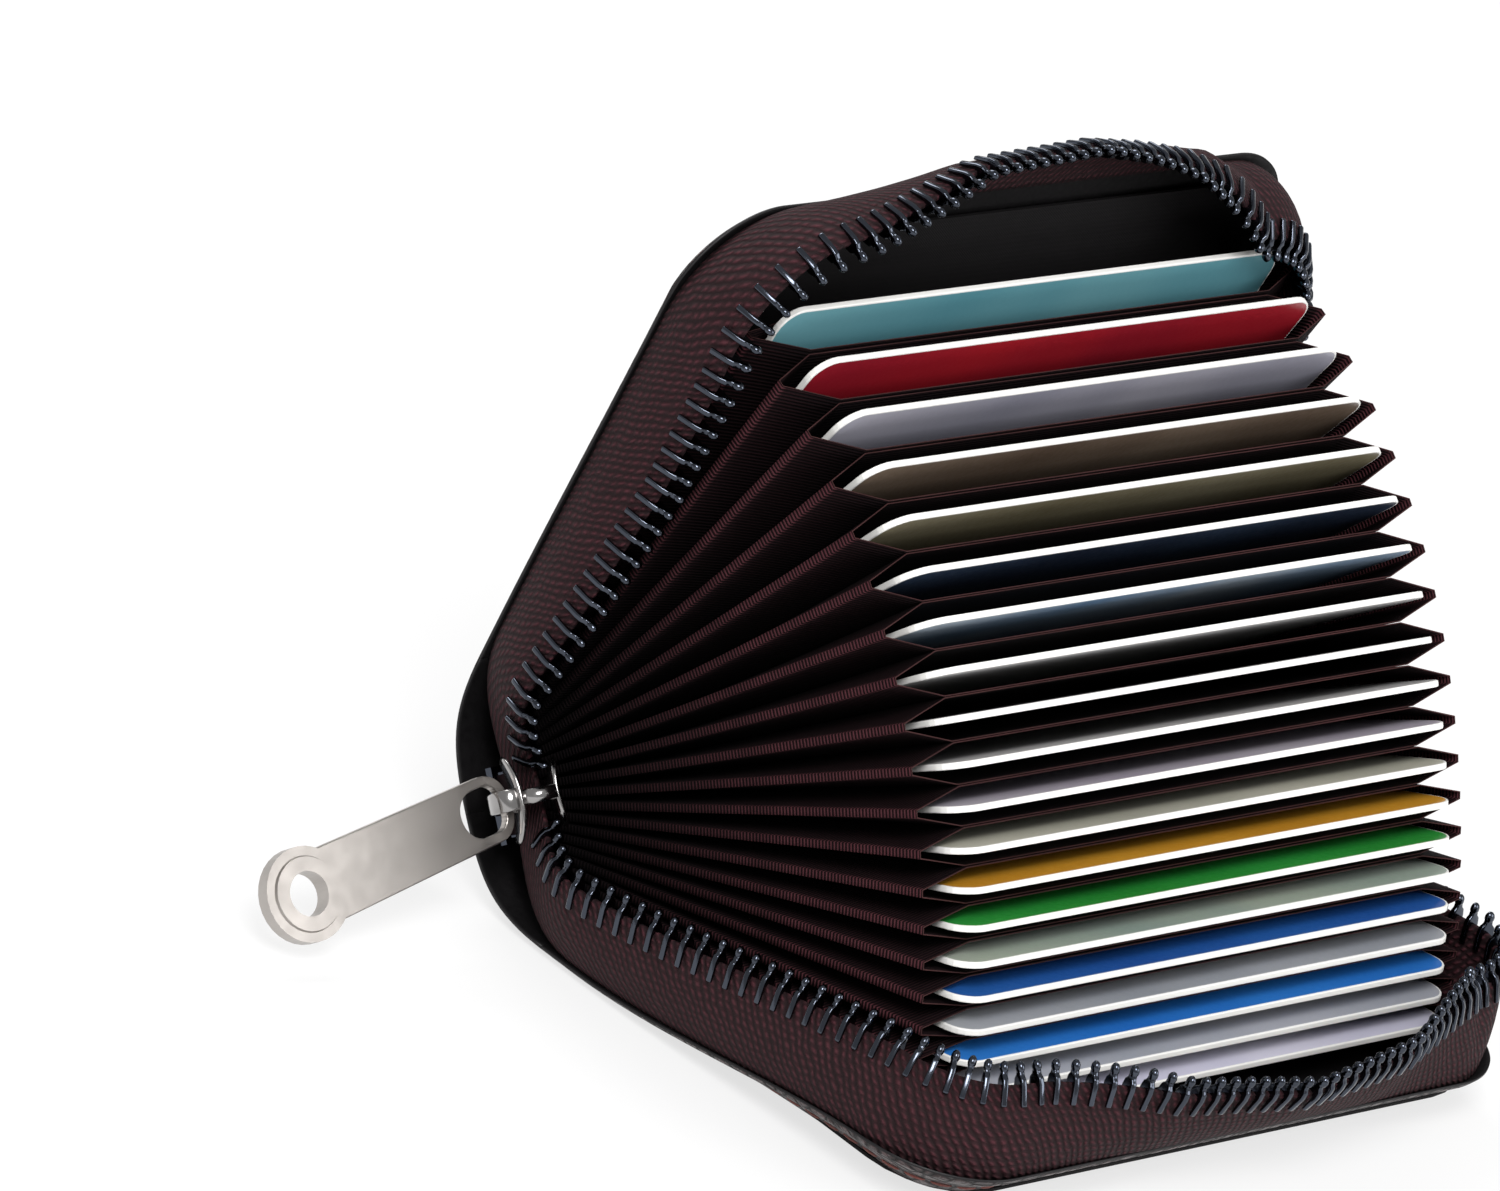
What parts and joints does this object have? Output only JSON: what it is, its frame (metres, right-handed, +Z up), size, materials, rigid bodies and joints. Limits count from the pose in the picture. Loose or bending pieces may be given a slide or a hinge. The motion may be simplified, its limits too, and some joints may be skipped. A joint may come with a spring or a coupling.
{
  "type": "organizer wallet",
  "caption": "Zip-around accordion card wallet in pebbled leather, open like a fan, with sewn fabric card pockets, bank cards and a pull tab.",
  "frame": {"origin": "centre of the back cover's flat underside, where the wallet rests", "axes": "+X along the spine, away from the slider end; the mouth opens towards -Y; +Z up"},
  "size_m": [0.1426, 0.0884, 0.0906],
  "materials": {
    "brown_leather": "pebbled, semi-gloss",
    "grey_board": "bonded leather board",
    "black_lining": "smooth woven lining",
    "maroon_tape": "twill zip tape",
    "pocket_fabric": "fine ribbed grosgrain",
    "gunmetal": "polished dark nickel",
    "card_cyan": "laminated card",
    "card_red": "laminated card",
    "card_lilac": "laminated card",
    "card_brown": "laminated card",
    "card_olive": "laminated card",
    "card_navy": "laminated card",
    "card_sky": "laminated card",
    "card_white": "laminated card",
    "card_mauve": "laminated card",
    "card_cream": "laminated card",
    "card_orange": "laminated card",
    "card_green": "laminated card",
    "card_teal": "laminated card",
    "card_deep_blue": "laminated card",
    "card_grey": "laminated card",
    "card_blue": "laminated card",
    "card_silver": "laminated card",
    "card_pale_lilac": "laminated card"
  },
  "bodies": {
    "back_cover": {"back_leather": "brown_leather", "back_board": "grey_board", "back_lining": "black_lining", "back_zip_half": "maroon_tape", "back_zip_stop": "gunmetal"},
    "spine": {"spine_leather": "brown_leather", "spine_board": "grey_board", "spine_lining": "black_lining", "zip_tail": "maroon_tape", "zip_bottom_stop": "gunmetal"},
    "front_cover": {"front_leather": "brown_leather", "front_board": "grey_board", "front_lining": "black_lining", "front_zip_half": "maroon_tape", "front_zip_stop": "gunmetal"},
    "slider": {"zip_slider": "gunmetal"},
    "pull": {"pull_tab": "gunmetal"},
    "fan_01": {"pocket_01": "pocket_fabric"},
    "sheet_01": {"card_01": "card_cyan"},
    "fan_02": {"pocket_02": "pocket_fabric"},
    "sheet_02": {"card_02": "card_red"},
    "fan_03": {"pocket_03": "pocket_fabric"},
    "sheet_03": {"card_03": "card_lilac"},
    "fan_04": {"pocket_04": "pocket_fabric"},
    "sheet_04": {"card_04": "card_brown"},
    "fan_05": {"pocket_05": "pocket_fabric"},
    "sheet_05": {"card_05": "card_olive"},
    "fan_06": {"pocket_06": "pocket_fabric"},
    "sheet_06": {"card_06": "card_navy"},
    "fan_07": {"pocket_07": "pocket_fabric"},
    "sheet_07": {"card_07": "card_sky"},
    "fan_08": {"pocket_08": "pocket_fabric"},
    "sheet_08": {"card_08": "card_white"},
    "fan_09": {"pocket_09": "pocket_fabric"},
    "sheet_09": {"card_09": "card_white"},
    "fan_10": {"pocket_10": "pocket_fabric"},
    "sheet_10": {"card_10": "card_white"},
    "fan_11": {"pocket_11": "pocket_fabric"},
    "sheet_11": {"card_11": "card_mauve"},
    "fan_12": {"pocket_12": "pocket_fabric"},
    "sheet_12": {"card_12": "card_cream"},
    "fan_13": {"pocket_13": "pocket_fabric"},
    "sheet_13": {"card_13": "card_orange"},
    "fan_14": {"pocket_14": "pocket_fabric"},
    "sheet_14": {"card_14": "card_green"},
    "fan_15": {"pocket_15": "pocket_fabric"},
    "sheet_15": {"card_15": "card_teal"},
    "fan_16": {"pocket_16": "pocket_fabric"},
    "sheet_16": {"card_16": "card_deep_blue"},
    "fan_17": {"pocket_17": "pocket_fabric"},
    "sheet_17": {"card_17": "card_grey"},
    "fan_18": {"pocket_18": "pocket_fabric"},
    "sheet_18": {"card_18": "card_blue"},
    "fan_19": {"pocket_19": "pocket_fabric"},
    "sheet_19": {"card_19": "card_silver"},
    "fan_20": {"pocket_20": "pocket_fabric"},
    "sheet_20": {"card_20": "card_pale_lilac"}
  },
  "joints": [
    {"name": "spine_fold", "type": "hinge", "parent": "back_cover", "child": "spine", "pos_m": [0, 0.03525, 0], "axis": [-1, 0, 0], "range_deg": [-40, 0]},
    {"name": "front_fold", "type": "hinge", "parent": "spine", "child": "front_cover", "pos_m": [0, 0.05312, 0.0213], "axis": [-1, 0, 0], "range_deg": [-40, 0]},
    {"name": "pocket_01_fan", "type": "hinge", "parent": "spine", "child": "fan_01", "pos_m": [0, 0.04837, 0.02053], "axis": [-1, 0, 0], "range_deg": [-35, 0], "deforming": ["pocket_01"]},
    {"name": "pocket_02_fan", "type": "hinge", "parent": "spine", "child": "fan_02", "pos_m": [0, 0.04767, 0.01971], "axis": [-1, 0, 0], "range_deg": [-29.1, 0], "deforming": ["pocket_02"]},
    {"name": "pocket_03_fan", "type": "hinge", "parent": "spine", "child": "fan_03", "pos_m": [0, 0.04698, 0.01888], "axis": [-1, 0, 0], "range_deg": [-23.52, 0], "deforming": ["pocket_03"]},
    {"name": "pocket_04_fan", "type": "hinge", "parent": "spine", "child": "fan_04", "pos_m": [0, 0.04628, 0.01805], "axis": [-1, 0, 0], "range_deg": [-18.25, 0], "deforming": ["pocket_04"]},
    {"name": "pocket_05_fan", "type": "hinge", "parent": "spine", "child": "fan_05", "pos_m": [0, 0.04559, 0.01722], "axis": [-1, 0, 0], "range_deg": [-13.26, 0], "deforming": ["pocket_05"]},
    {"name": "pocket_06_fan", "type": "hinge", "parent": "spine", "child": "fan_06", "pos_m": [0, 0.0449, 0.0164], "axis": [-1, 0, 0], "range_deg": [-8.55, 0], "deforming": ["pocket_06"]},
    {"name": "pocket_07_fan", "type": "hinge", "parent": "spine", "child": "fan_07", "pos_m": [0, 0.0442, 0.01557], "axis": [-1, 0, 0], "range_deg": [-4.09, 0], "deforming": ["pocket_07"]},
    {"name": "pocket_08_fan", "type": "hinge", "parent": "spine", "child": "fan_08", "pos_m": [0, 0.04351, 0.01474], "axis": [-1, 0, 0], "range_deg": [0, 0.1244], "deforming": ["pocket_08"]},
    {"name": "pocket_09_fan", "type": "hinge", "parent": "spine", "child": "fan_09", "pos_m": [0, 0.04281, 0.01391], "axis": [-1, 0, 0], "range_deg": [0, 4.11], "deforming": ["pocket_09"]},
    {"name": "pocket_10_fan", "type": "hinge", "parent": "spine", "child": "fan_10", "pos_m": [0, 0.04212, 0.01309], "axis": [-1, 0, 0], "range_deg": [0, 7.88], "deforming": ["pocket_10"]},
    {"name": "pocket_11_fan", "type": "hinge", "parent": "spine", "child": "fan_11", "pos_m": [0, 0.04142, 0.01226], "axis": [-1, 0, 0], "range_deg": [0, 11.44], "deforming": ["pocket_11"]},
    {"name": "pocket_12_fan", "type": "hinge", "parent": "spine", "child": "fan_12", "pos_m": [0, 0.04073, 0.01143], "axis": [-1, 0, 0], "range_deg": [0, 14.8], "deforming": ["pocket_12"]},
    {"name": "pocket_13_fan", "type": "hinge", "parent": "spine", "child": "fan_13", "pos_m": [0, 0.04004, 0.0106], "axis": [-1, 0, 0], "range_deg": [0, 17.99], "deforming": ["pocket_13"]},
    {"name": "pocket_14_fan", "type": "hinge", "parent": "spine", "child": "fan_14", "pos_m": [0, 0.03934, 0.00978], "axis": [-1, 0, 0], "range_deg": [0, 21], "deforming": ["pocket_14"]},
    {"name": "pocket_15_fan", "type": "hinge", "parent": "spine", "child": "fan_15", "pos_m": [0, 0.03865, 0.00895], "axis": [-1, 0, 0], "range_deg": [0, 23.84], "deforming": ["pocket_15"]},
    {"name": "pocket_16_fan", "type": "hinge", "parent": "spine", "child": "fan_16", "pos_m": [0, 0.03795, 0.00812], "axis": [-1, 0, 0], "range_deg": [0, 26.54], "deforming": ["pocket_16"]},
    {"name": "pocket_17_fan", "type": "hinge", "parent": "spine", "child": "fan_17", "pos_m": [0, 0.03726, 0.0073], "axis": [-1, 0, 0], "range_deg": [0, 29.08], "deforming": ["pocket_17"]},
    {"name": "pocket_18_fan", "type": "hinge", "parent": "spine", "child": "fan_18", "pos_m": [0, 0.03657, 0.00647], "axis": [-1, 0, 0], "range_deg": [0, 31.48], "deforming": ["pocket_18"]},
    {"name": "pocket_19_fan", "type": "hinge", "parent": "spine", "child": "fan_19", "pos_m": [0, 0.03587, 0.00564], "axis": [-1, 0, 0], "range_deg": [0, 33.76], "deforming": ["pocket_19"]},
    {"name": "pocket_20_fan", "type": "hinge", "parent": "spine", "child": "fan_20", "pos_m": [0, 0.03518, 0.00481], "axis": [-1, 0, 0], "range_deg": [0, 35.91], "deforming": ["pocket_20"]},
    {"name": "card_01_slide", "type": "slide", "parent": "fan_01", "child": "sheet_01", "axis": [0, -0.2588, 0.9659], "range_m": [0, 0.0035]},
    {"name": "card_02_slide", "type": "slide", "parent": "fan_02", "child": "sheet_02", "axis": [0, -0.3567, 0.9342], "range_m": [0, 0.05]},
    {"name": "card_03_slide", "type": "slide", "parent": "fan_03", "child": "sheet_03", "axis": [0, -0.4459, 0.8951], "range_m": [0, 0.05]},
    {"name": "card_04_slide", "type": "slide", "parent": "fan_04", "child": "sheet_04", "axis": [0, -0.5262, 0.8503], "range_m": [0, 0.05]},
    {"name": "card_05_slide", "type": "slide", "parent": "fan_05", "child": "sheet_05", "axis": [0, -0.5982, 0.8014], "range_m": [0, 0.05]},
    {"name": "card_06_slide", "type": "slide", "parent": "fan_06", "child": "sheet_06", "axis": [0, -0.662, 0.7495], "range_m": [0, 0.05]},
    {"name": "card_07_slide", "type": "slide", "parent": "fan_07", "child": "sheet_07", "axis": [0, -0.7183, 0.6958], "range_m": [0, 0.05]},
    {"name": "card_08_slide", "type": "slide", "parent": "fan_08", "child": "sheet_08", "axis": [0, -0.7674, 0.6411], "range_m": [0, 0.05]},
    {"name": "card_09_slide", "type": "slide", "parent": "fan_09", "child": "sheet_09", "axis": [0, -0.8101, 0.5862], "range_m": [0, 0.05]},
    {"name": "card_10_slide", "type": "slide", "parent": "fan_10", "child": "sheet_10", "axis": [0, -0.8469, 0.5318], "range_m": [0, 0.05]},
    {"name": "card_11_slide", "type": "slide", "parent": "fan_11", "child": "sheet_11", "axis": [0, -0.8783, 0.4781], "range_m": [0, 0.05]},
    {"name": "card_12_slide", "type": "slide", "parent": "fan_12", "child": "sheet_12", "axis": [0, -0.9049, 0.4257], "range_m": [0, 0.05]},
    {"name": "card_13_slide", "type": "slide", "parent": "fan_13", "child": "sheet_13", "axis": [0, -0.9271, 0.3748], "range_m": [0, 0.05]},
    {"name": "card_14_slide", "type": "slide", "parent": "fan_14", "child": "sheet_14", "axis": [0, -0.9455, 0.3256], "range_m": [0, 0.05]},
    {"name": "card_15_slide", "type": "slide", "parent": "fan_15", "child": "sheet_15", "axis": [0, -0.9605, 0.2782], "range_m": [0, 0.05]},
    {"name": "card_16_slide", "type": "slide", "parent": "fan_16", "child": "sheet_16", "axis": [0, -0.9725, 0.2328], "range_m": [0, 0.05]},
    {"name": "card_17_slide", "type": "slide", "parent": "fan_17", "child": "sheet_17", "axis": [0, -0.9819, 0.1895], "range_m": [0, 0.05]},
    {"name": "card_18_slide", "type": "slide", "parent": "fan_18", "child": "sheet_18", "axis": [0, -0.989, 0.1481], "range_m": [0, 0.05]},
    {"name": "card_19_slide", "type": "slide", "parent": "fan_19", "child": "sheet_19", "axis": [0, -0.9941, 0.1087], "range_m": [0, 0.005]},
    {"name": "card_20_slide", "type": "slide", "parent": "fan_20", "child": "sheet_20", "axis": [0, -0.9975, 0.0714], "range_m": [0, 0.005]},
    {"name": "slider_travel", "type": "slide", "parent": "spine", "child": "slider", "axis": [0, -0.766, 0.6428], "range_m": [0, 0.0025]},
    {"name": "pull_tab_swing", "type": "hinge", "parent": "slider", "child": "pull", "pos_m": [-0.0554, 0.0389, 0.01508], "axis": [0, 0.6428, 0.766], "range_deg": [-70, 85]}
  ],
  "couplings": [
    {"joint": "front_fold", "follows": "spine_fold", "ratio": 1},
    {"joint": "pocket_01_fan", "follows": "spine_fold", "ratio": 0.875},
    {"joint": "pocket_02_fan", "follows": "spine_fold", "ratio": 0.7275},
    {"joint": "pocket_03_fan", "follows": "spine_fold", "ratio": 0.58804},
    {"joint": "pocket_04_fan", "follows": "spine_fold", "ratio": 0.4562},
    {"joint": "pocket_05_fan", "follows": "spine_fold", "ratio": 0.33154},
    {"joint": "pocket_06_fan", "follows": "spine_fold", "ratio": 0.21368},
    {"joint": "pocket_07_fan", "follows": "spine_fold", "ratio": 0.10224},
    {"joint": "pocket_08_fan", "follows": "spine_fold", "ratio": -0.003111},
    {"joint": "pocket_09_fan", "follows": "spine_fold", "ratio": -0.10272},
    {"joint": "pocket_10_fan", "follows": "spine_fold", "ratio": -0.1969},
    {"joint": "pocket_11_fan", "follows": "spine_fold", "ratio": -0.28594},
    {"joint": "pocket_12_fan", "follows": "spine_fold", "ratio": -0.37012},
    {"joint": "pocket_13_fan", "follows": "spine_fold", "ratio": -0.44971},
    {"joint": "pocket_14_fan", "follows": "spine_fold", "ratio": -0.52496},
    {"joint": "pocket_15_fan", "follows": "spine_fold", "ratio": -0.59611},
    {"joint": "pocket_16_fan", "follows": "spine_fold", "ratio": -0.66338},
    {"joint": "pocket_17_fan", "follows": "spine_fold", "ratio": -0.72698},
    {"joint": "pocket_18_fan", "follows": "spine_fold", "ratio": -0.78711},
    {"joint": "pocket_19_fan", "follows": "spine_fold", "ratio": -0.84396},
    {"joint": "pocket_20_fan", "follows": "spine_fold", "ratio": -0.89771}
  ]
}
